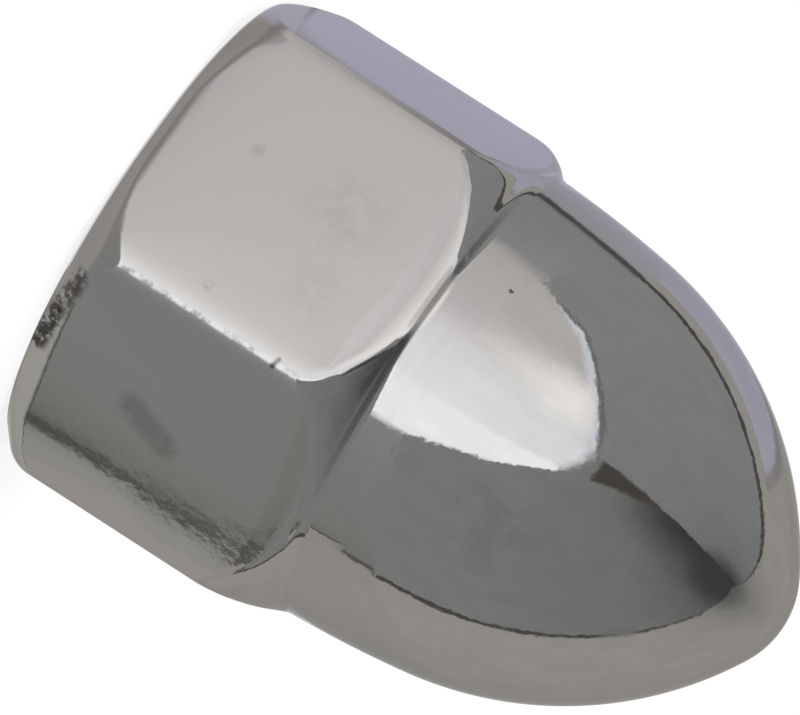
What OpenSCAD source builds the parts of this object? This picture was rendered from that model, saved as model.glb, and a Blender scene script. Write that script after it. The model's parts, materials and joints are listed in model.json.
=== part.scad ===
// Cap nut with a tall, closed ogive crown on a hexagon, turned from hexagon bar.
// Sizes are millimetres. The axis is Z, the bearing face lies at z = 0 and the crown points up.

/* [Hexagon] */
// Width across the flats
across_flats = 13; // [11:0.1:16]
// Height of the hexagon, up to the foot of the crown
hex_h = 8.2; // [6:0.1:11]
// Radius on the six upright edges
edge_r = 0.8; // [0.2:0.05:1.2]
// Angle of both chamfers, measured from the bearing face
chamfer_angle = 41; // [30:1:46]
// Step from the flats in to the rim of the bearing face
bearing_step = 0.1; // [0.05:0.05:0.8]
// Radius that blends the base chamfer into the upright edges
base_blend_r = 0.9; // [0.6:0.1:1.4]
// Radius that blends the top chamfer into the upright edges
top_blend_r = 1.1; // [0.6:0.1:1.5]

/* [Crown] */
// Step from the flats in to the foot of the crown
crown_step = 0.1; // [0.05:0.05:0.8]
// Height of the crown above the hexagon
crown_h = 10.8; // [9:0.1:14]
// Height of the tapered land at the foot of the crown
land_h = 3.4; // [1:0.1:5]
// Taper of the land, measured from the axis
land_taper = 5.5; // [1:0.5:8]
// Radius of the tip
tip_r = 2.5; // [1.5:0.1:3.2]

/* [Bore] */
// Tapping diameter of the thread, M8 x 1.25
bore_d = 6.8; // [5:0.1:7.4]
// Width of the countersink around the bore
mouth_step = 1; // [0.4:0.1:1.4]
// Included angle of the countersink
mouth_angle = 120; // [90:5:130]
// Included angle left by the point of the drill
drill_angle = 118; // [110:1:140]
// Metal left between the point of the drill and the tip
tip_wall = 3; // [2:0.1:4]

/* [Hidden] */
$fn = 180;

// How far a cutting body runs past the face that it cuts
overrun = 1;
// How far a clipping corner lies outside the arc that it clips, as a share of the radius
clip_reach = 2;

// Hexagon: flats face 0, 60, 120 degrees and so on, corners lie between them
corner_turn_angle = 60;
corner_centre_r = (across_flats / 2 - edge_r) / cos(corner_turn_angle / 2);
corner_r = corner_centre_r + edge_r;

// Chamfers: both cones, and the blends where they turn into the upright edges
bearing_r = across_flats / 2 - bearing_step;
foot_r = across_flats / 2 - crown_step;
blend_half_angle = (90 - chamfer_angle) / 2;
base_chamfer_h = (corner_r - bearing_r) * tan(chamfer_angle);
top_chamfer_h = (corner_r - foot_r) * tan(chamfer_angle);
base_blend = min(base_blend_r, base_chamfer_h / sin(chamfer_angle) / tan(blend_half_angle));
top_blend = min(top_blend_r, top_chamfer_h / sin(chamfer_angle) / tan(blend_half_angle));
base_blend_at = [corner_r - base_blend, base_chamfer_h + base_blend * tan(blend_half_angle)];
top_blend_at = [corner_r - top_blend, hex_h - top_chamfer_h - top_blend * tan(blend_half_angle)];

// Crown: a tapered land, then one ogive arc that is tangent to the land and to the tip
total_h = hex_h + crown_h;
land_top = [foot_r - land_h * tan(land_taper), hex_h + land_h];
tip_at = [0, total_h - tip_r];
land_drop = land_top.y - tip_at.y;
ogive_r = (land_top.x ^ 2 + land_drop ^ 2 - tip_r ^ 2)
    / (2 * (land_top.x * cos(land_taper) + land_drop * sin(land_taper) - tip_r));
ogive_at = land_top - ogive_r * [cos(land_taper), sin(land_taper)];
ogive_end_angle = atan2(tip_at.y - ogive_at.y, tip_at.x - ogive_at.x);

// Bore: countersunk mouth, straight wall, and the cone of the drill's point
bore_r = bore_d / 2;
mouth_r = bore_r + mouth_step;
mouth_h = mouth_step / tan(mouth_angle / 2);
bore_end = total_h - tip_wall;
bore_shoulder = bore_end - bore_r / tan(drill_angle / 2);

// Point on a circle
function on_arc(at, r, angle) = at + r * [cos(angle), sin(angle)];

// The sliver between an arc and its chord
module bulge(at, r, from, to) {
    half = (to - from) / 2;
    intersection() {
        translate(at)
            circle(r = r);
        polygon([
            on_arc(at, r, from),
            on_arc(at, clip_reach * r / cos(half), from + half),
            on_arc(at, r, to)
        ]);
    }
}

// Centre of the rounding on the corner that faces an angle
function corner_at(angle) = on_arc([0, 0], corner_centre_r, angle);

// Section of the bar: a hexagon with rounded corners
module hexagon_section() {
    half = corner_turn_angle / 2;
    mids = [for (i = [0:5]) corner_turn_angle * i + half];
    polygon([
        for (mid = mids, side = [-half, half])
            on_arc(corner_at(mid), edge_r, mid + side)
    ]);
    for (mid = mids)
        bulge(corner_at(mid), edge_r, mid - half, mid + half);
}

// Half section that the lathe leaves: chamfered hexagon, land, ogive and tip
module turned_outline() {
    polygon([
        [0, 0],
        [bearing_r, 0],
        on_arc(base_blend_at, base_blend, chamfer_angle - 90),
        on_arc(base_blend_at, base_blend, 0),
        on_arc(top_blend_at, top_blend, 0),
        on_arc(top_blend_at, top_blend, 90 - chamfer_angle),
        [foot_r, hex_h],
        land_top,
        on_arc(tip_at, tip_r, ogive_end_angle),
        [0, total_h]
    ]);
    bulge(base_blend_at, base_blend, chamfer_angle - 90, 0);
    bulge(top_blend_at, top_blend, 0, 90 - chamfer_angle);
    bulge(ogive_at, ogive_r, land_taper, ogive_end_angle);
    bulge(tip_at, tip_r, ogive_end_angle, 90);
}

// Half section of the blind bore, drilled from the bearing face
module bore_outline() {
    polygon([
        [0, -overrun],
        [mouth_r + overrun * tan(mouth_angle / 2), -overrun],
        [bore_r, mouth_h],
        [bore_r, bore_shoulder],
        [0, bore_end]
    ]);
}

// The nut: hexagon bar, turned to its outline and drilled
module cap_nut() {
    color("silver")
        difference() {
            intersection() {
                translate([0, 0, -overrun])
                    linear_extrude(total_h + 2 * overrun)
                        hexagon_section();
                rotate_extrude()
                    turned_outline();
            }
            rotate_extrude()
                bore_outline();
        }
}

cap_nut();
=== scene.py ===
"""Looks of a chrome cap nut: its polished body with a real thread, on a pale floor in a glowing tent whose
painted lining gives the chrome its reflections.

Lengths are millimetres and angles degrees until a mesh is finished, which scales it to metres.
Azimuths turn about the nut's axis from +X, and elevations rise from the floor.
"""

import json
import logging
import math
from dataclasses import dataclass
from enum import Enum

import bmesh
import bpy
from mathutils import Matrix, Vector


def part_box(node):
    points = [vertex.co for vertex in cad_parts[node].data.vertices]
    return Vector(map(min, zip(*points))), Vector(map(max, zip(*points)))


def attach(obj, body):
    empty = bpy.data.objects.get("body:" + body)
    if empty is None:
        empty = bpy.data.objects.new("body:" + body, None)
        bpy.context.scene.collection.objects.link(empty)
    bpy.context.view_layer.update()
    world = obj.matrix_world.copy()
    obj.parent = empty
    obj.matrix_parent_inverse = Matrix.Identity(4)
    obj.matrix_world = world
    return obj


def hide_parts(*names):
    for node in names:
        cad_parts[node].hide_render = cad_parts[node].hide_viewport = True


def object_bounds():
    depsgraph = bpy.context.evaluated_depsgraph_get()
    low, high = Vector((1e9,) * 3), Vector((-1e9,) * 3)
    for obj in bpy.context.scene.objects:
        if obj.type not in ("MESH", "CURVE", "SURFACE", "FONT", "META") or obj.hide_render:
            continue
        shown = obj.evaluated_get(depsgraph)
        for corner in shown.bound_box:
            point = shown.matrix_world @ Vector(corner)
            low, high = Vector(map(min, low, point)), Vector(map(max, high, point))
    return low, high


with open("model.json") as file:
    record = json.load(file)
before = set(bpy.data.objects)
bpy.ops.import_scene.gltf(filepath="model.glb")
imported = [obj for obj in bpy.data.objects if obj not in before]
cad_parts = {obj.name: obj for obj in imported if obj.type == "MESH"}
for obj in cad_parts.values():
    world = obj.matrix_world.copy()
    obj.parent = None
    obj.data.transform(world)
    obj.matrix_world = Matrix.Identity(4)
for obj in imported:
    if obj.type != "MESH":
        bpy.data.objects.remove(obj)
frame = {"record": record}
CAD_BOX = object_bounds()

LOG = logging.getLogger("cap_nut")
MM = 0.001
WELD = 1e-4
IMAGE_WIDTH = 800

FULL_TURN = 360.0
FLATS = 6
FLAT_TURN = FULL_TURN / FLATS

Colour = tuple[float, float, float]
Point = tuple[float, float]
Stop = tuple[float, float, float, float]


class Op(Enum):
    """The Math node's operations that the finishes use."""

    ADD = "ADD"
    SUBTRACT = "SUBTRACT"
    MULTIPLY = "MULTIPLY"
    DIVIDE = "DIVIDE"
    MINIMUM = "MINIMUM"
    MAXIMUM = "MAXIMUM"
    SQRT = "SQRT"
    ABSOLUTE = "ABSOLUTE"


class VectorOp(Enum):
    """The Vector Math node's operations that the finishes use."""

    SUBTRACT = "SUBTRACT"
    SCALE = "SCALE"
    LENGTH = "LENGTH"
    DISTANCE = "DISTANCE"
    DOT = "DOT_PRODUCT"


class Wire:
    """A shader value that takes part in Python sums."""

    def __init__(self, tree: "Shader", socket: bpy.types.NodeSocket | None) -> None:
        """Keeps the output socket and the tree that it belongs to."""
        self.tree = tree
        self.socket = socket

    def __add__(self, other: "Wire | float") -> "Wire":
        """Sum of two values."""
        return self.tree.math(Op.ADD, self, other)

    def __radd__(self, other: float) -> "Wire":
        """Sum with a number in front."""
        return self.tree.math(Op.ADD, other, self)

    def __sub__(self, other: "Wire | float") -> "Wire":
        """Difference of two values."""
        return self.tree.math(Op.SUBTRACT, self, other)

    def __rsub__(self, other: float) -> "Wire":
        """Difference from a number in front."""
        return self.tree.math(Op.SUBTRACT, other, self)

    def __mul__(self, other: "Wire | float") -> "Wire":
        """Product of two values."""
        return self.tree.math(Op.MULTIPLY, self, other)

    def __rmul__(self, other: float) -> "Wire":
        """Product with a number in front."""
        return self.tree.math(Op.MULTIPLY, other, self)

    def __truediv__(self, other: "Wire | float") -> "Wire":
        """Quotient of two values."""
        return self.tree.math(Op.DIVIDE, self, other)

    def ramp(self, low: float, high: float) -> "Wire":
        """Smooth step of the value, from 0 at low to 1 at high.

        Args:
            low: Value that gives 0.
            high: Value that gives 1, which may lie below low.

        Returns:
            The stepped value.
        """
        if high < low:
            return 1 - self.ramp(high, low)
        settings = {"interpolation_type": "SMOOTHSTEP"}
        inputs = {"Value": self, "From Min": low, "From Max": high}
        return self.tree.node("ShaderNodeMapRange", settings, inputs)


class Shader:
    """Node tree of a material or of the world."""

    def __init__(self, owner: bpy.types.ID) -> None:
        """Empties the owner's tree.

        Args:
            owner: Material or world.
        """
        owner.use_nodes = True
        self.tree = owner.node_tree
        self.tree.nodes.clear()

    def node(self, kind: str, settings: dict, inputs: dict, output: int | str = 0) -> Wire:
        """Adds one node.

        Args:
            kind: Blender's name of the node's type.
            settings: Properties of the node, set before its sockets.
            inputs: Numbers, colours or wires for its sockets, by name or place.
            output: Name or place of the output that is returned.

        Returns:
            The wire from that output, or an empty one from a node without outputs.
        """
        made = self.tree.nodes.new(kind)
        for name, value in settings.items():
            if name == "stops":
                self.set_stops(made.color_ramp, value)
            else:
                setattr(made, name, value)
        for name, value in inputs.items():
            if isinstance(value, Wire):
                self.tree.links.new(value.socket, made.inputs[name])
            else:
                made.inputs[name].default_value = value
        return Wire(self, made.outputs[output] if made.outputs else None)

    def set_stops(self, ramp: bpy.types.ColorRamp, stops: list[tuple[float, Colour]]) -> None:
        """Gives a colour ramp its stops.

        Args:
            ramp: Ramp of a new node, with its two stops.
            stops: Places from 0 to 1 with their colours.
        """
        for _ in stops[2:]:
            ramp.elements.new(0.5)
        for element, (at, _) in zip(ramp.elements, stops):
            element.position = at
        for element, (_, colour) in zip(ramp.elements, stops):
            element.color = (*colour, 1.0)

    def dot(self, first: Wire, second: Colour) -> Wire:
        """Dot product of a place and a direction."""
        return self.vector(VectorOp.DOT, {0: first, 1: second}, "Value")

    def math(self, op: Op, first: Wire | float, second: Wire | float = 0.0) -> Wire:
        """Adds a Math node for one operation on two values."""
        return self.node("ShaderNodeMath", {"operation": op.value}, {0: first, 1: second})

    def vector(self, op: VectorOp, inputs: dict, output: int | str = 0) -> Wire:
        """Adds a Vector Math node for one operation."""
        return self.node("ShaderNodeVectorMath", {"operation": op.value}, inputs, output)

    def tint(self, factor: Wire, first: Colour | Wire, second: Colour | Wire) -> Wire:
        """Mixes two colours.

        Args:
            factor: Share of the second colour.
            first: Colour, or wire of one, at factor 0.
            second: Colour, or wire of one, at factor 1.

        Returns:
            The wire of the mixed colour.
        """
        sides = [c if isinstance(c, Wire) else (*c, 1.0) for c in (first, second)]
        inputs = {0: factor, 6: sides[0], 7: sides[1]}
        return self.node("ShaderNodeMix", {"data_type": "RGBA"}, inputs, 2)

    def place_mm(self) -> Wire:
        """Object coordinates in millimetres."""
        place = self.node("ShaderNodeTexCoord", {}, {}, "Object")
        return self.vector(VectorOp.SCALE, {0: place, "Scale": 1 / MM})

    def noise(self, place: Wire, per_mm: float, detail: float, rough: float = 0.5) -> Wire:
        """Noise from 0 to 1.

        Args:
            place: Coordinates in millimetres.
            per_mm: Features to the millimetre.
            detail: Octaves of finer noise.
            rough: Weight of each finer octave.

        Returns:
            The wire of the noise.
        """
        inputs = {"Vector": place, "Scale": per_mm, "Detail": detail, "Roughness": rough}
        return self.node("ShaderNodeTexNoise", {}, inputs)

    def surface(self, shader: Wire, kind: str = "ShaderNodeOutputMaterial") -> None:
        """Sends a shader to the output."""
        self.node(kind, {}, {"Surface": shader})


@dataclass(frozen=True)
class Mark:
    """Worn or soiled place on the chrome, or the reach of painted shade, round or along a line."""

    at: Colour
    reach: float
    dark: float
    per_mm: float = 3.0
    broken: float = 0.5
    run: Colour = (0.0, 0.0, 0.0)
    core: float = 0.3
    detail: float = 3.0
    rough: float = 0.65
    below: float = 0.12
    over: float = 0.08

    def mask(self, net: Shader, place: Wire) -> Wire:
        """Works out where the mark lies.

        Args:
            net: Tree that takes the nodes.
            place: Coordinates in millimetres.

        Returns:
            The wire of the mark, up to its darkness.
        """
        offset = net.vector(VectorOp.SUBTRACT, {0: place, 1: self.at})
        if any(self.run):
            length = sum(part * part for part in self.run)
            step = tuple(part / length for part in self.run)
            share = net.node("ShaderNodeClamp", {}, {0: net.dot(offset, step)})
            nearest = net.vector(VectorOp.SCALE, {0: self.run, "Scale": share})
            offset = net.vector(VectorOp.SUBTRACT, {0: offset, 1: nearest})
        away = net.vector(VectorOp.LENGTH, {0: offset}, "Value")
        near = away.ramp(self.reach, self.core * self.reach)
        grain = net.noise(place, self.per_mm, self.detail, self.rough)
        flecks = grain.ramp(self.broken - self.below, self.broken + self.over)
        return near * flecks * self.dark


@dataclass(frozen=True)
class ChromeFinish:
    """Bright chrome with a slight peel, pits, smudges and soiled marks, painted shade in the groove at its
    front, and dull steel inside the bore.
    """

    plate: Colour = (0.52, 0.52, 0.525)
    steel: Colour = (0.30, 0.29, 0.28)
    edge_tint: Colour = (0.74, 0.74, 0.74)
    grime_and_shade: Colour = (0.035, 0.033, 0.030)
    rust: Colour = (0.10, 0.07, 0.045)
    polish: float = 0.035
    smear_rough: float = 0.10
    steel_rough: float = 0.42
    peel_per_mm: float = 2.6
    peel_height: float = 0.0022
    grain_per_mm: float = 9.0
    grain_height: float = 0.00045
    wave_per_mm: float = 0.35
    wave_height: float = 0.006
    mouth_span: Point = (4.6, 4.2)
    wall_span: Point = (14.4, 14.0)
    point_span: Point = (3.9, 3.6)
    roof_span: Point = (16.2, 16.05)
    smear_per_mm: float = 0.45
    smear_detail: float = 3.0
    smear_grain: float = 0.6
    smear_span: Point = (0.56, 0.72)
    # Painted shade: the groove at the crown's foot is darkened on the side that faces the camera, fading out
    # round the nut.
    groove_z: float = 8.2
    groove_span: Point = (0.11, 0.04)
    groove_shade_front: Mark = Mark((6.3, 0.9, 8.2), 5.4, 1.0, 1.6, 0.36)
    groove_shade: float = 0.62
    pits: tuple[Colour, ...] = ((6.17, -1.34, 9.58), (5.9, 2.9, 10.9), (-4.1, 4.9, 10.1))
    pit_r: float = 0.085
    pit_core: float = 0.4
    pit_depth: float = 0.02
    pit_stain: float = 0.8
    dirt_and_shade_rough: float = 0.3
    peel_detail: float = 1.5
    marks: tuple[Mark, ...] = (
        Mark((3.45, 5.45, 0.20), 0.36, 0.9, 4.5, 0.44, (1.0, -0.6, 0.12)),
        Mark((4.4, 4.9, 0.30), 0.40, 0.75, 5.5, 0.48, (1.1, -0.65, 0.22)),
        Mark((3.36, 5.55, 3.08), 0.56, 0.26, 3.0, 0.37, (-0.45, 0.26, 1.1)),
        Mark((6.33, 3.71, 5.88), 0.12, 0.85, 3.0, 0.3, (0.05, -0.19, 0.06)),
        Mark((6.40, 3.68, 1.4), 0.12, 0.5, 2.4, 0.56, (0.0, 0.0, 5.9)),
        Mark((6.49, -0.75, 2.43), 0.26, 0.14, 3.0, 0.42),
        Mark((6.48, 2.92, 3.43), 0.22, 0.14, 3.0, 0.42),
        Mark((6.5, -0.6, 5.2), 1.6, 0.07, 1.8, 0.5),
        Mark((6.5, 1.6, 5.6), 1.2, 0.05, 1.8, 0.52),
        Mark((4.6, 3.5, 12.3), 1.6, 0.09, 1.4, 0.5),
        Mark((-5.6, 3.2, 4.0), 1.7, 0.14, 1.5, 0.5),
        Mark((-3.2, -5.6, 2.5), 1.4, 0.16, 1.8, 0.5),
        Mark((-5.2, -0.8, 12.0), 1.5, 0.10, 1.5, 0.5),
    )

    def relief(self, net: Shader, place: Wire, pit: Wire) -> Wire:
        """Works out the small unevenness of the plating.

        Args:
            net: Tree that takes the nodes.
            place: Coordinates in millimetres.
            pit: Mask of the pits.

        Returns:
            The wire of the height, in millimetres.
        """
        peel = net.noise(place, self.peel_per_mm, self.peel_detail) * self.peel_height
        grain = net.noise(place, self.grain_per_mm, 1.0) * self.grain_height
        wave = net.noise(place, self.wave_per_mm, 0.0) * self.wave_height
        return peel + grain + wave - pit * self.pit_depth

    def material(self) -> bpy.types.Material:
        """Makes the finish's material.

        Returns:
            The new material.
        """
        made = bpy.data.materials.new("chrome_plate")
        net = Shader(made)
        place = net.place_mm()
        across = [net.node("ShaderNodeSeparateXYZ", {}, {0: place}, i) for i in range(3)]
        radius = net.math(Op.SQRT, across[0] * across[0] + across[1] * across[1])
        height = across[2]

        bore = radius.ramp(*self.mouth_span) * height.ramp(*self.wall_span)
        point = radius.ramp(*self.point_span) * height.ramp(*self.roof_span)
        inside = net.math(Op.MAXIMUM, bore, point)
        off_groove = net.math(Op.ABSOLUTE, height - self.groove_z)
        groove = off_groove.ramp(*self.groove_span) * (1 - inside)
        front = self.groove_shade_front.mask(net, place)
        smear = net.noise(place, self.smear_per_mm, self.smear_detail, self.smear_grain)
        smear = smear.ramp(*self.smear_span)
        pit = 0.0
        for at in self.pits:
            away = net.vector(VectorOp.DISTANCE, {0: place, 1: at}, "Value")
            pit = away.ramp(self.pit_r, self.pit_core * self.pit_r) + pit
        # Painted shade in the front of the groove joins the soiled marks in one mask that darkens and
        # roughens the chrome.
        dirt_and_shade = groove * front * self.groove_shade
        for mark in self.marks:
            dirt_and_shade = net.math(Op.MAXIMUM, dirt_and_shade, mark.mask(net, place))

        base = net.tint(inside, self.plate, self.steel)
        base = net.tint(dirt_and_shade, base, self.grime_and_shade)
        base = net.tint(pit * self.pit_stain, base, self.rust)
        rough = self.polish + smear * self.smear_rough + inside * self.steel_rough + dirt_and_shade * self.dirt_and_shade_rough
        relief = self.relief(net, place, pit)
        normal = net.node("ShaderNodeBump", {}, {"Height": relief, "Distance": MM})
        shader = net.node(
            "ShaderNodeBsdfPrincipled",
            {},
            {
                "Base Color": base,
                "Metallic": 1.0,
                "Roughness": rough,
                "Specular Tint": (*self.edge_tint, 1.0),
                "Normal": normal,
            },
        )
        net.surface(shader)
        return made


class Measure(Enum):
    """What a graded tone follows."""

    ALONG = "along"
    TURN = "turn"


@dataclass(frozen=True)
class Tone:
    """Colour that the chrome shows where it mirrors a patch, plain or graded by stops."""

    stops: tuple[tuple[float, Colour], ...]
    measure: Measure = Measure.ALONG
    start: Colour = (0.0, 0.0, 0.0)
    along: Colour = (0.0, 0.0, 1.0)

    def wire(self, net: Shader, place: Wire) -> Wire | Colour:
        """Works out the tone.

        Args:
            net: Tree that takes the nodes.
            place: Coordinates in millimetres.

        Returns:
            The colour, or the wire of a graded one.
        """
        if len(self.stops) == 1:
            return self.stops[0][1]
        offset = net.vector(VectorOp.SUBTRACT, {0: place, 1: self.start})
        low, high = self.stops[0][0], self.stops[-1][0]
        if self.measure is Measure.TURN:
            round_once = net.node("ShaderNodeTexGradient", {"gradient_type": "RADIAL"}, {0: offset}, 1)
            value = round_once * FULL_TURN - FULL_TURN / 2
        else:
            value = net.dot(offset, self.along)
        stops = [((at - low) / (high - low), colour) for at, colour in self.stops]
        return net.node("ShaderNodeValToRGB", {"stops": stops}, {0: (value - low) / (high - low)})


@dataclass(frozen=True)
class Edge:
    """Plane that bounds a patch, which keeps the side that the normal points to."""

    normal: Colour
    offset: float
    soft: float
    ragged: float = 0.0

    def mask(self, net: Shader, place: Wire, noise: Wire) -> Wire:
        """Works out the side that is kept.

        Args:
            net: Tree that takes the nodes.
            place: Coordinates in millimetres.
            noise: Noise from 0 to 1 that frays the edge.

        Returns:
            The wire of the mask, 1 on the kept side.
        """
        inside = net.dot(place, self.normal) - self.offset
        if self.ragged:
            inside = inside + (noise - 0.5) * (2 * self.ragged)
        return inside.ramp(-self.soft, self.soft)


@dataclass(frozen=True)
class Spot:
    """Round bound of a patch, which keeps what lies near a point."""

    centre: Colour
    full: float
    gone: float

    def mask(self, net: Shader, place: Wire, noise: Wire) -> Wire:
        """Works out the part that is kept.

        Args:
            net: Tree that takes the nodes.
            place: Coordinates in millimetres.
            noise: Not used; the noise that frays an edge leaves a round bound as it is.

        Returns:
            The wire of the mask, 1 near the point.
        """
        away = net.vector(VectorOp.DISTANCE, {0: place, 1: self.centre}, "Value")
        return away.ramp(self.gone, self.full)


@dataclass(frozen=True)
class Patch:
    """Area of the tent's lining with its own tone."""

    tone: Tone
    bounds: tuple[Edge | Spot, ...] = ()
    cover: float = 1.0


@dataclass(frozen=True)
class Lining:
    """Glow of the tent's inside, painted patch over patch, which only reflections see."""

    patches: tuple[Patch, ...]
    strength: float = 1 / 0.52
    detail: float = 3.0
    fray_per_mm: float = 0.05
    fray_rough: float = 0.6
    cloud_per_mm: float = 0.006
    cloud_span: Point = (0.35, 0.7)
    cloud: float = 0.06

    def material(self, name: str) -> bpy.types.Material:
        """Makes the lining's material.

        Args:
            name: Name of the material.

        Returns:
            The new material.
        """
        made = bpy.data.materials.new(name)
        net = Shader(made)
        place = net.place_mm()
        fray = net.noise(place, self.fray_per_mm, self.detail, self.fray_rough)
        paint = self.patches[0].tone.wire(net, place)
        for patch in self.patches[1:]:
            share = patch.cover
            for bound in patch.bounds:
                share = bound.mask(net, place, fray) * share
            paint = net.tint(share, paint, patch.tone.wire(net, place))
        clouds = net.noise(place, self.cloud_per_mm, self.detail).ramp(*self.cloud_span)
        paint = net.tint(clouds * self.cloud, paint, (0.0, 0.0, 0.0))
        glow = net.node("ShaderNodeEmission", {}, {"Color": paint, "Strength": self.strength})
        net.surface(glow)
        return made


@dataclass(frozen=True)
class FloorFinish:
    """White floor that keeps a faint shadow and looks white to the camera and in the chrome."""

    colour: Colour = (0.9, 0.9, 0.9)
    glow_share: float = 0.82

    def material(self) -> bpy.types.Material:
        """Makes the floor's material.

        Returns:
            The new material.
        """
        made = bpy.data.materials.new("white_floor")
        net = Shader(made)
        paint = net.node("ShaderNodeBsdfDiffuse", {}, {"Color": (*self.colour, 1.0)})
        glow = net.node("ShaderNodeEmission", {}, {"Strength": 1.0})
        seen = seen_directly(net)
        net.surface(net.node("ShaderNodeMixShader", {}, {0: seen * self.glow_share, 1: paint, 2: glow}))
        return made


def seen_directly(net: Shader) -> Wire:
    """One where the camera, a reflection or a clear body looks, and nought for the light's own paths.

    Args:
        net: Tree that the value is used in.

    Returns:
        The wire of the value.
    """
    rays = ("Is Camera Ray", "Is Glossy Ray", "Is Transmission Ray")
    camera, glossy, clear = (net.node("ShaderNodeLightPath", {}, {}, name) for name in rays)
    return net.math(Op.MINIMUM, camera + glossy + clear, 1.0)


class Pen:
    """Draws a half section in the XZ plane of a mesh, stroke after stroke."""

    def __init__(self, mesh: bmesh.types.BMesh, start: Point) -> None:
        """Sets the pen down.

        Args:
            mesh: Mesh that takes the line.
            start: Radius and height of the first point.
        """
        self.mesh = mesh
        self.tip = mesh.verts.new((start[0], 0.0, start[1]))

    def line(self, to: Point, steps: int = 1) -> "Pen":
        """Draws a straight stroke.

        Args:
            to: Radius and height of the stroke's end.
            steps: Number of edges in it.

        Returns:
            The pen itself.
        """
        move = (Vector((to[0], 0.0, to[1])) - self.tip.co) / steps
        for _ in range(steps):
            made = bmesh.ops.extrude_vert_indiv(self.mesh, verts=[self.tip])
            self.tip = made["verts"][0]
            bmesh.ops.translate(self.mesh, verts=[self.tip], vec=move)
        return self

    def arc(self, centre: Point, turn: float, steps: int) -> "Pen":
        """Draws an arc about a centre.

        Args:
            centre: Radius and height of the arc's centre.
            turn: Degrees from the radius towards the height, negative the other way.
            steps: Number of edges in it.

        Returns:
            The pen itself.
        """
        made = bmesh.ops.spin(
            self.mesh,
            geom=[self.tip],
            cent=(centre[0], 0.0, centre[1]),
            axis=(0.0, -1.0, 0.0),
            angle=math.radians(turn),
            steps=steps,
            use_duplicate=False,
        )
        self.tip = next(g for g in made["geom_last"] if isinstance(g, bmesh.types.BMVert))
        return self

    def revolve(self, zones: list[tuple[float, int]]) -> None:
        """Spins the drawn line about the Z axis, one zone after another.

        Args:
            zones: Degrees and steps of each zone.
        """
        line = [*self.mesh.verts, *self.mesh.edges]
        for angle, steps in zones:
            made = bmesh.ops.spin(
                self.mesh,
                geom=line,
                cent=(0.0, 0.0, 0.0),
                axis=(0.0, 0.0, 1.0),
                angle=math.radians(angle),
                steps=steps,
                use_merge=angle == FULL_TURN,
                use_duplicate=False,
            )
            line = made["geom_last"]


def on_arc(centre: Point, radius: float, angle: float) -> Point:
    """Point on a circle of a half section.

    Args:
        centre: Radius and height of the centre.
        radius: Radius of the circle.
        angle: Degrees from the radius towards the height.

    Returns:
        Radius and height of the point.
    """
    turned = math.radians(angle)
    return (centre[0] + radius * math.cos(turned), centre[1] + radius * math.sin(turned))


def soft_min(first: float, second: float, softness: float) -> float:
    """Smaller of two lengths, with a rounded change from one to the other.

    Args:
        first: One length.
        second: Other length.
        softness: Half of the difference at which the rounding ends.

    Returns:
        The smaller length, or a little less where they are close.
    """
    near = max(1 - abs(first - second) / (2 * softness), 0.0)
    return min(first, second) - softness / 2 * near**2


def finish_mesh(mesh: bmesh.types.BMesh, name: str, material: bpy.types.Material) -> bpy.types.Object:
    """Scales a mesh to metres and links it as an object at the origin.

    Args:
        mesh: Mesh in millimetres, which is freed.
        name: Name of the object and its mesh.
        material: Material of all its faces.

    Returns:
        The new object.
    """
    bmesh.ops.scale(mesh, vec=(MM, MM, MM), verts=mesh.verts)
    data = bpy.data.meshes.new(name)
    mesh.to_mesh(data)
    mesh.free()
    data.materials.append(material)
    made = bpy.data.objects.new(name, data)
    bpy.context.scene.collection.objects.link(made)
    return made


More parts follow.
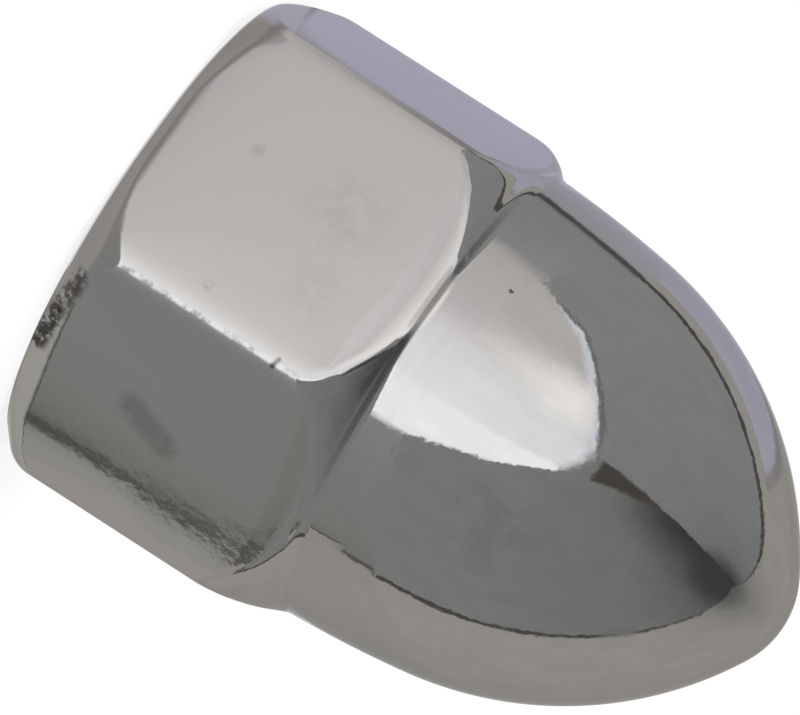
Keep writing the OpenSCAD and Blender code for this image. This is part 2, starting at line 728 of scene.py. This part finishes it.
@dataclass
class NutBody:
    """The nut in one piece: hexagon, crown and threaded blind bore."""

    across_flats: float
    total_h: float
    corner_r: float
    bore_r: float
    hex_h: float = 8.2
    foot_step: float = 0.1
    bearing_step: float = 0.08
    base_chamfer: float = 41.0
    top_chamfer: float = 44.0
    fillet_r: float = 0.55
    foot_fade: float = 0.3
    bar_r: float = 9.0
    land_h: float = 3.4
    land_taper: float = 5.5
    land_bow: float = 3.0
    tip_r: float = 2.5
    mouth_step: float = 1.0
    mouth_angle: float = 120.0
    drill_angle: float = 118.0
    tip_wall: float = 3.0
    thread_pitch: float = 1.25
    thread_depth: float = 0.62
    thread_runout: float = 2.0
    thread_crest: float = 0.12
    thread_flank: float = 0.72
    edge_softness: float = 0.22
    rim_softness: float = 0.055
    base_wear: tuple[float, ...] = (0.30, 0.22, 0.30, 0.35, 0.25, 0.50)
    top_wear: tuple[float, ...] = (0.40, 0.66, 0.40, 0.45, 0.28, 0.40)
    base_pillow: float = 0.035
    top_pillow: float = 0.094
    pillow_reach: float = 0.50
    pillow_fade: float = 1.6
    sharp_angle: float = 38.0
    corner_zone: float = 10.0
    corner_steps: int = 32
    flat_steps: int = 24
    bore_columns: int = 112
    bore_row: float = 0.0735
    tip_steps: int = 14
    ogive_steps: int = 44
    land_steps: int = 14
    fillet_steps: int = 10
    chamfer_steps: int = 32
    wall_steps: int = 26
    mouth_steps: int = 8
    point_steps: int = 6

    @property
    def foot_r(self) -> float:
        """Radius of the crown's foot."""
        return self.across_flats / 2 - self.foot_step

    def draw_outside(self, mesh: bmesh.types.BMesh) -> Pen:
        """Draws the half section from the tip down to the bearing rim.

        Args:
            mesh: Mesh that takes the line.

        Returns:
            The pen at the bearing rim.
        """
        rim_r = self.across_flats / 2 - self.bearing_step
        rise = (self.bar_r - rim_r) * math.tan(math.radians(self.base_chamfer))
        drop = (self.bar_r - self.foot_r) * math.tan(math.radians(self.top_chamfer))
        land = (
            self.foot_r - self.land_h * math.tan(math.radians(self.land_taper)),
            self.hex_h + self.land_h,
        )
        foot_lean = self.land_taper - self.land_bow
        land_lean = self.land_taper + self.land_bow
        chord = math.hypot(self.foot_r - land[0], self.land_h)
        bow_r = chord / 2 / math.sin(math.radians(self.land_bow))
        bow = on_arc(land, -bow_r, land_lean)
        lean = math.radians(land_lean)
        tip = (0.0, self.total_h - self.tip_r)
        fall = land[1] - tip[1]
        reach = 2 * (land[0] * math.cos(lean) + fall * math.sin(lean) - self.tip_r)
        ogive_r = (land[0] ** 2 + fall**2 - self.tip_r**2) / reach
        ogive = (land[0] - ogive_r * math.cos(lean), land[1] - ogive_r * math.sin(lean))
        ogive_end = math.degrees(math.atan2(tip[1] - ogive[1], tip[0] - ogive[0]))

        pen = Pen(mesh, (0.0, self.total_h))
        pen.arc(tip, ogive_end - 90, self.tip_steps)
        pen.arc(ogive, land_lean - ogive_end, self.ogive_steps)
        slope = 90 - self.top_chamfer
        land_cut = self.fillet_r * math.tan(math.radians(slope - foot_lean) / 2)
        fillet_lean = foot_lean + math.degrees(land_cut / bow_r)
        pen.arc(bow, fillet_lean - land_lean, self.land_steps)
        fillet = on_arc((pen.tip.co.x, pen.tip.co.z), self.fillet_r, fillet_lean)
        pen.arc(fillet, slope - fillet_lean, self.fillet_steps)
        pen.line((self.bar_r, self.hex_h - drop), self.chamfer_steps)
        pen.line((self.bar_r, rise), self.wall_steps)
        pen.line((rim_r, 0.0), self.chamfer_steps)
        return pen

    def soft_hexagon(self, azimuth: float) -> float:
        """Radius of the hexagon's soft outline.

        Args:
            azimuth: Angle about the axis, in radians.

        Returns:
            Radius at that angle.
        """
        side = math.radians(FLAT_TURN)
        off = abs((azimuth + side / 2) % side - side / 2)
        near, next_one = math.cos(off), math.cos(side - off)
        half = self.across_flats / 2
        total = half * (near + next_one)
        product = near * next_one
        spare = half**2 - self.edge_softness**2 / 4
        return (total - math.sqrt(total**2 - 4 * product * spare)) / (2 * product)

    def pressed(self, turned_r: float, azimuth: float, share: float) -> float:
        """Radius of the hexagon's wall once the flats are pressed and polished.

        Args:
            turned_r: Radius that the lathe left.
            azimuth: Angle about the axis, in radians.
            share: Height as a share of the hexagon's height.

        Returns:
            The smaller, softened radius.
        """
        flat_r = self.soft_hexagon(azimuth)
        half = self.across_flats / 2
        corner = min(((flat_r - half) / (self.corner_r - half)) ** 2, 1.0)
        pillow = self.base_pillow + share * (self.top_pillow - self.base_pillow)
        sag = pillow * math.exp(-max(turned_r - flat_r, 0.0) / self.pillow_reach)
        which = int(math.degrees(azimuth) % FULL_TURN // FLAT_TURN)
        wear = self.base_wear[which] + share * (self.top_wear[which] - self.base_wear[which])
        softness = self.rim_softness + corner * (wear - self.rim_softness)
        return soft_min(turned_r, flat_r - sag * max(1 - self.pillow_fade * corner, 0.0), softness)

    def press_flats(self, mesh: bmesh.types.BMesh) -> None:
        """Moves the turned hexagon's wall in to the six flats.

        Args:
            mesh: Mesh of the outside.
        """
        for vert in mesh.verts:
            radius = math.hypot(vert.co.x, vert.co.y)
            fade = min(max((self.hex_h - vert.co.z) / self.foot_fade + 0.5, 0.0), 1.0)
            if fade == 0.0 or radius < self.across_flats / 2 - self.bearing_step - WELD:
                continue
            azimuth = math.atan2(vert.co.y, vert.co.x)
            pressed = self.pressed(radius, azimuth, vert.co.z / self.hex_h)
            vert.co.xy *= 1 + fade * (pressed / radius - 1)

    def draw_bore(self, mesh: bmesh.types.BMesh) -> Pen:
        """Draws the half section of the plain bore, from its mouth up to the drill's point.

        Args:
            mesh: Mesh that takes the line.

        Returns:
            The pen at the drill's point.
        """
        mouth_h = self.mouth_step / math.tan(math.radians(self.mouth_angle / 2))
        end = self.total_h - self.tip_wall
        shoulder = end - self.bore_r / math.tan(math.radians(self.drill_angle / 2))
        pen = Pen(mesh, (self.bore_r + self.mouth_step, 0.0))
        pen.line((self.bore_r, mouth_h), self.mouth_steps)
        pen.line((self.bore_r, shoulder), round((shoulder - mouth_h) / self.bore_row))
        pen.line((0.0, end), self.point_steps)
        return pen

    def cut_thread(self, mesh: bmesh.types.BMesh) -> None:
        """Moves the bore's wall out along a right-hand helix.

        Args:
            mesh: Mesh of the bore.
        """
        end = self.total_h - self.tip_wall
        shoulder = end - self.bore_r / math.tan(math.radians(self.drill_angle / 2))
        for vert in mesh.verts:
            radius = math.hypot(vert.co.x, vert.co.y)
            if radius < self.bore_r - WELD or vert.co.z < WELD:
                continue
            turn = math.atan2(vert.co.y, vert.co.x) / math.tau
            share = (vert.co.z / self.thread_pitch - turn) % 1.0
            flank = (abs(2 * share - 1) - self.thread_crest) / self.thread_flank
            fade = min(max((shoulder - vert.co.z) / self.thread_runout, 0.0), 1.0)
            wall = self.bore_r + self.thread_depth * min(max(flank, 0.0), 1.0) * fade
            vert.co.xy *= max(radius, wall) / radius

    def build(self, material: bpy.types.Material) -> bpy.types.Object:
        """Builds the nut's mesh.

        Args:
            material: Finish of the whole nut.

        Returns:
            The nut's object.
        """
        mesh = bmesh.new()
        half_flat = (FLAT_TURN - self.corner_zone) / 2
        side = [
            (half_flat, self.flat_steps // 2),
            (self.corner_zone, self.corner_steps),
            (half_flat, self.flat_steps // 2),
        ]
        self.draw_outside(mesh).revolve(side * FLATS)
        bmesh.ops.remove_doubles(mesh, verts=mesh.verts, dist=WELD)
        self.press_flats(mesh)
        bore = bmesh.new()
        self.draw_bore(bore).revolve([(FULL_TURN, self.bore_columns)])
        bmesh.ops.remove_doubles(bore, verts=bore.verts, dist=WELD)
        self.cut_thread(bore)
        inner = bpy.data.meshes.new("bore_wall")
        bore.to_mesh(inner)
        bore.free()
        mesh.from_mesh(inner)
        bpy.data.meshes.remove(inner)
        rims = [e for e in mesh.edges if e.is_boundary]
        bmesh.ops.bridge_loops(mesh, edges=rims)
        bmesh.ops.recalc_face_normals(mesh, faces=mesh.faces)
        limit = math.radians(self.sharp_angle)
        for face in mesh.faces:
            face.smooth = True
        for edge in mesh.edges:
            edge.smooth = edge.calc_face_angle(0.0) < limit
        return finish_mesh(mesh, "cap_nut_body", material)

    def dress(self, piece: bpy.types.Object) -> None:
        """Puts the nut on its body, in place of the plain solid.

        Args:
            piece: The nut's object.
        """
        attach(piece, "root")
        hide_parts("cap_nut")


def aim(azimuth: float, elevation: float) -> Vector:
    """Direction from the nut.

    Args:
        azimuth: Degrees about the axis from +X.
        elevation: Degrees above the floor.

    Returns:
        The unit vector.
    """
    turn, rise = math.radians(azimuth), math.radians(elevation)
    return Vector((math.cos(rise) * math.cos(turn), math.cos(rise) * math.sin(turn), math.sin(rise)))


def shown(red: float, green: float, blue: float) -> Colour:
    """Linear colour of a screen colour from 0 to 255."""
    return tuple(((level / 255 + 0.055) / 1.055) ** 2.4 for level in (red, green, blue))


def plain(red: float, green: float, blue: float) -> Tone:
    """Tone of one screen colour."""
    return Tone(((0.0, shown(red, green, blue)),))


def graded(stops: tuple[Stop, ...]) -> tuple[tuple[float, Colour], ...]:
    """Places of a graded tone with their linear colours."""
    return tuple((at, shown(*tone)) for at, *tone in stops)


@dataclass
class Tent:
    """Glowing lining around the nut, painted with the reflections that its chrome mirrors: a dome, a floor
    and a mat close to the nut.
    """

    radius: float = 1200.0
    heart: float = 12.0
    near_r: float = 62.0
    ridge: Point = (6.2, 3.5)
    seam: Point = (2.88, 0.0)
    seam_turn: float = 101.9
    slim: float = 0.45
    dome_rows: int = 24
    columns: int = 72
    floor_lift: float = 0.02
    mat_lift: float = 0.05

    @property
    def degree(self) -> float:
        """Length of one degree on the dome."""
        return math.radians(self.radius)

    def sky(self, first: Point, second: Point, soft: float, ragged: float = 0.0) -> Edge:
        """Great circle on the dome, which keeps the side on its right.

        Args:
            first: Azimuth and elevation that it leaves from.
            second: Azimuth and elevation that it runs to.
            soft: Half width of its fade, in degrees.
            ragged: How far it frays, in degrees.

        Returns:
            The edge.
        """
        normal = aim(*second).cross(aim(*first)).normalized()
        return Edge(tuple(normal), normal.z * self.heart, soft * self.degree, ragged * self.degree)

    def back_off(self, first: Point, second: Point, reach: float = 25.0) -> Edge:
        """Soft bound that fades from full at a great circle to nothing some way past it.

        Args:
            first: Azimuth and elevation that the circle leaves from.
            second: Azimuth and elevation that it runs to.
            reach: Degrees over which it fades.

        Returns:
            The edge.
        """
        sharp = self.sky(first, second, reach / 2)
        flipped = tuple(-part for part in sharp.normal)
        return Edge(flipped, -sharp.offset - reach / 2 * self.degree, sharp.soft)

    def above(self, elevation: float, soft: float, tilt: Point = (0.0, 90.0)) -> Edge:
        """Level line on the dome, or one about a tilted axis, which keeps what lies above it.

        Args:
            elevation: Degrees above the line's own horizon.
            soft: Half width of its fade, in millimetres.
            tilt: Azimuth and elevation of the axis.

        Returns:
            The edge.
        """
        height = self.radius * math.sin(math.radians(elevation))
        return Edge(tuple(aim(*tilt)), height, soft)

    def fence(self, start: Point, turn: float, soft: float, ragged: float = 0.0) -> Edge:
        """Straight line on the floor, which keeps the side on its right.

        Args:
            start: Point on the line, in millimetres.
            turn: Azimuth of the line.
            soft: Half width of its fade, in millimetres.
            ragged: How far it frays, in millimetres.

        Returns:
            The edge.
        """
        normal = aim(turn - 90, 0.0)
        return Edge(tuple(normal), normal.x * start[0] + normal.y * start[1], soft, ragged)

    def spot(self, azimuth: float, elevation: float, full: float, gone: float) -> Spot:
        """Round spot on the dome.

        Args:
            azimuth: Azimuth of its middle.
            elevation: Elevation of its middle.
            full: Degrees from the middle where it starts to fade.
            gone: Degrees from the middle where it ends.

        Returns:
            The bound.
        """
        centre = aim(azimuth, elevation) * self.radius
        return Spot(tuple(centre), full * self.degree, gone * self.degree)

    def climb(self, *stops: Stop) -> Tone:
        """Tone graded by elevation.

        Args:
            stops: Elevations in degrees with their screen colours.

        Returns:
            The tone.
        """
        return Tone(tuple((self.radius * math.sin(math.radians(at)), tone) for at, tone in graded(stops)))

    def fan(self, start: Point, *stops: Stop) -> Tone:
        """Tone graded by azimuth about a point of the floor.

        Args:
            start: Point that the tone turns about.
            stops: Azimuths in degrees with their screen colours.

        Returns:
            The tone.
        """
        return Tone(graded(stops), Measure.TURN, (*start, 0.0))

    def across(self, start: Point, turn: float, *stops: Stop) -> Tone:
        """Tone graded across a line on the floor.

        Args:
            start: Point on the line.
            turn: Azimuth of the line.
            stops: Millimetres to the left of the line with their screen colours.

        Returns:
            The tone.
        """
        return Tone(graded(stops), Measure.ALONG, (*start, 0.0), tuple(aim(turn + 90, 0.0)))

    def seam_fan(self, start: Point, *stops: Stop) -> Tone:
        """Tone of the floor on both sides of its dark seam.

        Args:
            start: Point that the tone turns about.
            stops: Azimuths across the seam with their screen colours.

        Returns:
            The tone.
        """
        before = ((60.0, 120, 120, 118), (96.0, 115, 115, 112))
        after = ((150.0, 142, 139, 135), (180.0, 138, 136, 133))
        return self.fan(start, *before, *stops, *after)

    def window_fan(self) -> Tone:
        """Tone of the window's lower part, graded from its left to its right.

        Returns:
            The tone.
        """
        left = ((-66.0, 158, 155, 153), (-48.0, 171, 167, 164), (-34.0, 175, 171, 168))
        middle = ((-23.0, 184, 180, 178), (-16.0, 195, 192, 190), (-9.0, 207, 205, 204), (2.0, 215, 215, 216))
        right = ((14.0, 218, 218, 219), (22.0, 229, 230, 231), (38.0, 230, 231, 231))
        return self.fan((0.0, 0.0), *left, *middle, *right)

    def dome_patches(self) -> list[Patch]:
        """Lists the dome's patches.

        Returns:
            The patches, from the base coat up.
        """
        right = self.climb(
            (0.0, 117, 117, 115), (20.0, 115, 115, 113), (45.0, 110, 111, 109), (56.0, 108, 109, 107),
            (66.0, 102, 103, 101), (76.0, 94, 95, 93), (90.0, 66, 67, 66),
        )
        left = self.climb(
            (0.0, 125, 125, 124), (20.0, 122, 122, 121), (45.0, 119, 119, 119), (56.0, 116, 117, 116),
            (68.0, 112, 113, 112), (77.0, 105, 106, 105), (90.0, 70, 70, 69),
        )
        back = self.climb(
            (0.0, 143, 140, 135), (45.0, 142, 139, 134), (60.0, 139, 136, 131), (70.0, 132, 129, 125),
            (77.0, 122, 120, 116), (90.0, 80, 79, 77),
        )
        low, high = (-4.5, 36.0), (-20.0, 73.0)
        dark = plain(55, 57, 55)
        notch = (
            self.sky((-4.8, 32.0), (-7.5, 50.0), 0.8, 0.9),
            self.sky((9.0, 33.8), (-6.0, 33.3), 0.7, 0.8),
            self.sky((-2.5, 51.0), (9.5, 33.0), 1.2, 0.9),
        )
        seams = (
            self.sky((107.6, 0.0), (118.5, 72.0), 0.3, 1.0),
            self.sky((-110.0, 78.0), (-102.4, 0.0), 0.3, 1.1),
        )
        behind = (
            self.sky((110.2, 0.0), (121.0, 72.0), 0.5, 1.2),
            self.sky((-112.5, 78.0), (-105.6, 0.0), 0.5, 1.3),
        )
        lilac_rim = (
            self.sky((-142.5, 6.0), (-116.0, 34.5), 0.4, 0.5),
            self.sky((-113.0, 45.0), (-113.0, 0.0), 0.6, 0.8),
        )
        lilac = (
            self.sky((-140.0, 6.0), (-114.0, 33.0), 0.5, 0.5),
            self.sky((-113.5, 45.0), (-113.5, 0.0), 0.9, 0.8),
        )
        return [
            Patch(right),
            Patch(left, (self.sky(high, low, 0.35, 0.5), self.sky((-140.0, 0.0), (-140.0, 80.0), 0.2))),
            Patch(dark, (self.sky(low, high, 0.35, 0.5), self.back_off(low, high), self.above(49.0, 190.0))),
            Patch(dark, (self.above(81.5, 20.0, (-10.0, 85.0)),), 0.85),
            Patch(plain(68, 64, 59), notch),
            Patch(plain(68, 66, 63), seams),
            Patch(back, behind),
            Patch(plain(127, 124, 123), lilac_rim),
            Patch(plain(153, 152, 164), lilac),
            *self.window_patches(),
        ]

    def window_patches(self) -> list[Patch]:
        """Lists the window's patches on the dome.

        Returns:
            The patches, from the outside in.
        """
        top = self.sky((-5.0, 31.5), (14.0, 24.0), 3.0, 0.6)
        right = self.sky((15.0, 24.6), (28.0, 7.5), 0.35, 0.25)
        frame_left = (
            self.sky((-51.0, 4.8), (-21.5, 26.2), 0.5, 0.8),
            self.sky((-21.5, 26.2), (-1.0, 32.8), 0.6, 0.8),
        )
        pane_left = (
            self.sky((-50.0, 4.2), (-20.0, 24.6), 0.5, 0.7),
            self.sky((-20.0, 24.6), (0.0, 31.8), 0.8, 0.8),
        )
        light_left = (
            self.sky((-50.0, 2.8), (-20.0, 21.0), 1.3, 1.0),
            self.sky((-20.0, 21.0), (0.0, 29.0), 1.6, 1.0),
        )
        sill_left = (
            self.sky((-60.0, -1.5), (-42.0, 6.8), 0.5, 0.9),
            self.sky((-40.0, 60.0), (-40.0, 0.0), 3.0),
        )
        sill_right = (
            self.sky((27.0, 8.4), (40.0, -2.0), 0.35, 0.9),
            self.sky((18.0, 0.0), (18.0, 60.0), 1.0),
        )
        glow = (
            self.spot(-17.0, 14.5, 3.0, 17.0),
            self.sky((-50.0, 3.4), (-20.0, 22.5), 1.6, 0.8),
        )
        streak = (
            self.sky((8.0, 20.6), (15.5, 25.2), 0.6, 0.6),
            self.sky((18.0, 0.0), (12.0, 26.0), 1.2, 2.4),
            right,
        )
        return [
            Patch(plain(92, 92, 92), (*frame_left, right, top), 0.75),
            Patch(plain(196, 197, 202), (*pane_left, right, top)),
            Patch(self.window_fan(), (*light_left, right, top)),
            Patch(self.window_fan(), sill_left),
            Patch(self.window_fan(), sill_right),
            Patch(plain(229, 226, 222), glow, 0.9),
            Patch(plain(232, 233, 233), streak),
        ]

    def floor_patches(self) -> list[Patch]:
        """Lists the far floor's patches.

        Returns:
            The patches, from the base coat up.
        """
        base = self.fan(
            (0.0, 0.0),
            (-180.0, 138, 136, 133), (-160.0, 144, 142, 141), (-150.0, 152, 151, 160),
            (-124.0, 152, 151, 160), (-116.0, 147, 146, 151), (-107.5, 143, 141, 143), (-105.5, 72, 70, 68),
            (-102.5, 76, 75, 72), (-100.5, 123, 123, 121), (-75.0, 127, 127, 125), (-63.0, 131, 130, 129),
            (-57.0, 163, 160, 157), (-48.0, 171, 167, 164), (-34.0, 176, 172, 169), (-22.5, 182, 178, 177),
            (-19.0, 188, 185, 183), (-14.0, 200, 197, 195), (-9.0, 209, 207, 206), (2.0, 215, 215, 216),
            (14.0, 218, 218, 219), (22.0, 229, 230, 231), (37.0, 230, 231, 231), (39.5, 126, 126, 125),
            (60.0, 120, 120, 118), (96.0, 115, 115, 112), (105.5, 112, 112, 109), (106.5, 72, 70, 67),
            (108.5, 78, 76, 73), (110.0, 140, 137, 133), (150.0, 142, 139, 135), (180.0, 138, 136, 133),
        )
        far = self.seam_fan(
            (7.5, 3.5),
            (105.4, 111, 111, 108), (106.2, 76, 74, 71), (107.6, 80, 78, 75), (108.4, 138, 135, 131),
        )
        near = self.seam_fan(
            self.seam,
            (101.2, 108, 108, 104), (101.6, 76, 74, 71), (102.2, 80, 78, 75), (102.7, 136, 133, 129),
        )
        side = (self.fence((0.0, 30.0), 180.0, 8.0), self.fence((0.0, 0.0), 250.0, 12.0))
        return [
            Patch(base),
            Patch(far, side),
            Patch(near, (*side, Spot((0.0, 0.0, 0.0), 150.0, 230.0))),
        ]

    def near_patches(self) -> list[Patch]:
        """Lists the patches of the mat close to the nut.

        Returns:
            The patches, from the base coat up.
        """
        bright = self.fan(
            self.ridge,
            (-75.0, 172, 168, 166), (-50.0, 179, 175, 172), (-27.0, 184, 180, 177), (-20.0, 191, 188, 185),
            (-12.0, 205, 202, 199), (-4.0, 214, 212, 210), (12.0, 218, 218, 218), (26.0, 231, 232, 232),
            (42.0, 228, 229, 229), (50.0, 205, 205, 205), (56.0, 165, 165, 165), (62.0, 138, 138, 137),
            (74.0, 126, 126, 125), (90.0, 119, 119, 117), (100.0, 116, 116, 114), (180.0, 140, 137, 133),
        )
        stripe = (
            (-4.0, 117, 117, 115), (-1.6, 113, 113, 109), (-0.7, 106, 106, 102), (-0.25, 96, 95, 91),
            (0.0, 74, 73, 69), (0.25, 80, 78, 74), (0.6, 129, 127, 123), (1.2, 136, 134, 129),
            (3.2, 143, 140, 136),
        )
        slim = [(self.slim * at, *tone) for at, *tone in stripe]
        shade = self.across(
            (6.2, -5.4),
            -231.5,
            (4.0, 172, 169, 167), (14.0, 166, 162, 160), (25.0, 143, 140, 138), (35.0, 128, 125, 123),
            (55.0, 122, 121, 119),
        )
        lilac = self.across((-1.94, -11.23), -136.5, (-0.6, 160, 159, 173), (0.2, 132, 130, 131))
        below = self.fence((0.0, -2.0), 0.0, 1.0)
        beyond = self.fence((0.0, 3.0), 180.0, 1.0)
        foot = (self.fence((4.5, 0.0), 270.0, 0.6), beyond)
        ring = Spot((0.0, 0.0, 0.0), 7.4, 8.3)
        rim = Spot((0.0, 0.0, 0.0), 6.9, 7.3)
        lilac_foot = (
            self.fence((4.9, -5.25), -140.0, 0.4),
            self.fence((5.0, -4.6), -51.5, 0.4),
            Spot((2.8, -6.1, 0.0), 2.3, 3.2),
        )
        return [
            Patch(bright),
            Patch(shade, (self.fence((6.2, -3.5), -105.0, 2.5), below)),
            Patch(lilac, (self.fence((-1.8, -11.3), -136.5, 0.3), below)),
            Patch(
                self.across(self.seam, self.seam_turn, *slim),
                (self.fence((4.6, 5.0), 282.8, 0.8), beyond),
            ),
            Patch(
                self.across(self.seam, self.seam_turn, *stripe),
                (self.fence((-1.0, 20.0), 282.8, 0.8), self.fence((0.0, 30.0), 180.0, 5.0)),
            ),
            Patch(plain(118, 118, 116), (Spot((7.4, 4.3, 0.0), 1.4, 2.6),)),
            Patch(plain(148, 145, 143), (Spot((6.5, -5.2, 0.0), 0.4, 1.5),)),
            Patch(plain(122, 119, 116), (ring, self.fence((0.0, 3.4), 0.0, 0.6))),
            Patch(plain(78, 76, 72), (self.fence((4.27, 7.40), -30.0, 0.08, 0.1), *foot)),
            Patch(plain(149, 147, 143), (self.fence((4.15, 7.19), -30.0, 0.2, 0.1), *foot)),
            Patch(plain(150, 146, 141), (rim,)),
            Patch(plain(138, 134, 131), (rim, self.fence((5.0, 0.0), 90.0, 0.5))),
            Patch(plain(158, 157, 169), lilac_foot),
        ]

    def build(self) -> list[bpy.types.Object]:
        """Builds the tent.

        Returns:
            Its dome, floor and near mat.
        """
        dome = bmesh.new()
        pen = Pen(dome, (self.radius, 0.0))
        pen.arc((0.0, 0.0), 90.0, self.dome_rows)
        pen.revolve([(FULL_TURN, self.columns)])
        bmesh.ops.remove_doubles(dome, verts=dome.verts, dist=WELD)
        made = [finish_mesh(dome, "tent_dome", Lining(tuple(self.dome_patches())).material("tent_dome"))]
        mats = (
            ("tent_floor", self.radius, self.floor_lift, self.floor_patches()),
            ("tent_mat", self.near_r, self.mat_lift, self.near_patches()),
        )
        for name, radius, lift, patches in mats:
            mesh = bmesh.new()
            bmesh.ops.create_circle(mesh, cap_ends=True, segments=self.columns, radius=radius)
            bmesh.ops.translate(mesh, verts=mesh.verts, vec=(0.0, 0.0, lift))
            made.append(finish_mesh(mesh, name, Lining(tuple(patches)).material(name)))
        # The painted reflections glow only for reflections: the camera, diffuse light and shadows do not see
        # them.
        for part in made:
            part.visible_camera = False
            part.visible_diffuse = False
            part.visible_shadow = False
        return made


@dataclass
class Studio:
    """Floor, tent, lamp and world."""

    floor_half: float = 1500.0
    floor_drop: float = 0.01
    lamp_at: Colour = (100.0, -100.0, 600.0)
    lamp_size: float = 500.0
    lamp_power: float = 3.0
    sky: float = 0.75

    def build_floor(self) -> bpy.types.Object:
        """Builds the floor.

        Returns:
            The floor's object.
        """
        mesh = bmesh.new()
        bmesh.ops.create_grid(mesh, x_segments=2, y_segments=2, size=self.floor_half)
        bmesh.ops.translate(mesh, verts=mesh.verts, vec=(0.0, 0.0, -self.floor_drop))
        made = finish_mesh(mesh, "floor", FloorFinish().material())
        return made

    def light(self) -> None:
        """Adds the soft lamp overhead and the white world."""
        lamp = bpy.data.lights.new("soft_lamp", "AREA")
        lamp.shape = "DISK"
        lamp.size = self.lamp_size * MM
        lamp.energy = self.lamp_power
        holder = bpy.data.objects.new("soft_lamp", lamp)
        holder.location = Vector(self.lamp_at) * MM
        holder.rotation_mode = "QUATERNION"
        holder.rotation_quaternion = holder.location.to_track_quat("Z", "Y")
        holder.visible_glossy = False
        bpy.context.scene.collection.objects.link(holder)
        world = bpy.data.worlds.new("white_world")
        bpy.context.scene.world = world
        net = Shader(world)
        levels = [
            net.node("ShaderNodeBackground", {}, {"Color": (1.0, 1.0, 1.0, 1.0), "Strength": level})
            for level in (self.sky, 1.0)
        ]
        sky = net.node("ShaderNodeMixShader", {}, {0: seen_directly(net), 1: levels[0], 2: levels[1]})
        net.surface(sky, "ShaderNodeOutputWorld")

    def build(self) -> list[bpy.types.Object]:
        """Builds the floor, the tent and the light.

        Returns:
            The stage's objects.
        """
        made = [self.build_floor(), *Tent().build()]
        self.light()
        return made


@dataclass
class PhotoCamera:
    """Camera at the photograph's angle, turned about its own axis."""

    azimuth: float = 19.55
    elevation: float = 9.71
    roll: float = 122.68
    distance: float = 333.3
    pixels_per_mm: float = 40.0124
    shift_right: float = -1.6524
    shift_up: float = 1.6204
    sensor: float = 36.0
    nearest: float = 0.01
    furthest: float = 10.0

    def build(self, target: Vector) -> bpy.types.Object:
        """Adds the camera.

        Args:
            target: Middle of the nut, in metres.

        Returns:
            The camera's object.
        """
        back = aim(self.azimuth, self.elevation)
        level = Vector((0.0, 0.0, 1.0)).cross(back).normalized()
        upright = back.cross(level)
        turn = math.radians(self.roll)
        right = math.cos(turn) * level + math.sin(turn) * upright
        up = math.cos(turn) * upright - math.sin(turn) * level
        offset = self.shift_right * right + self.shift_up * up + self.distance * back
        data = bpy.data.cameras.new("photo_camera")
        data.sensor_width = self.sensor
        data.lens = self.pixels_per_mm * self.distance / IMAGE_WIDTH * self.sensor
        data.clip_start = self.nearest
        data.clip_end = self.furthest
        made = bpy.data.objects.new("photo_camera", data)
        facing = Matrix((right, up, back)).transposed().to_4x4()
        made.matrix_world = Matrix.Translation(target + offset * MM) @ facing
        bpy.context.scene.collection.objects.link(made)
        bpy.context.scene.camera = made
        return made


def nut_sizes() -> NutBody:
    """Reads the nut's driving sizes from the frame.

    Returns:
        The nut, not yet built.
    """
    low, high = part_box("cap_nut")
    bore = next(m for m in frame["record"]["mounts"] if m["kind"] == "threaded_hole")
    return NutBody(
        across_flats=(high.x - low.x) / MM,
        total_h=(high.z - low.z) / MM,
        corner_r=(high.y - low.y) / 2 / MM,
        bore_r=bore["dims"]["r_mm"],
    )


def main() -> None:
    """Builds the nut, its stage and its camera."""
    logging.basicConfig(level=logging.INFO, format="%(name)s: %(message)s")
    nut = nut_sizes()
    piece = nut.build(ChromeFinish().material())
    nut.dress(piece)
    LOG.info("%s: %d faces", piece.name, len(piece.data.polygons))
    for part in Studio().build():
        LOG.info("stage %s: %d faces", part.name, len(part.data.polygons))
    low, high = CAD_BOX
    camera = PhotoCamera().build((low + high) / 2)
    LOG.info("%s: lens %.1f mm", camera.name, camera.data.lens)
    bpy.context.scene.view_settings.view_transform = "Standard"


if __name__ == "__main__":
    main()
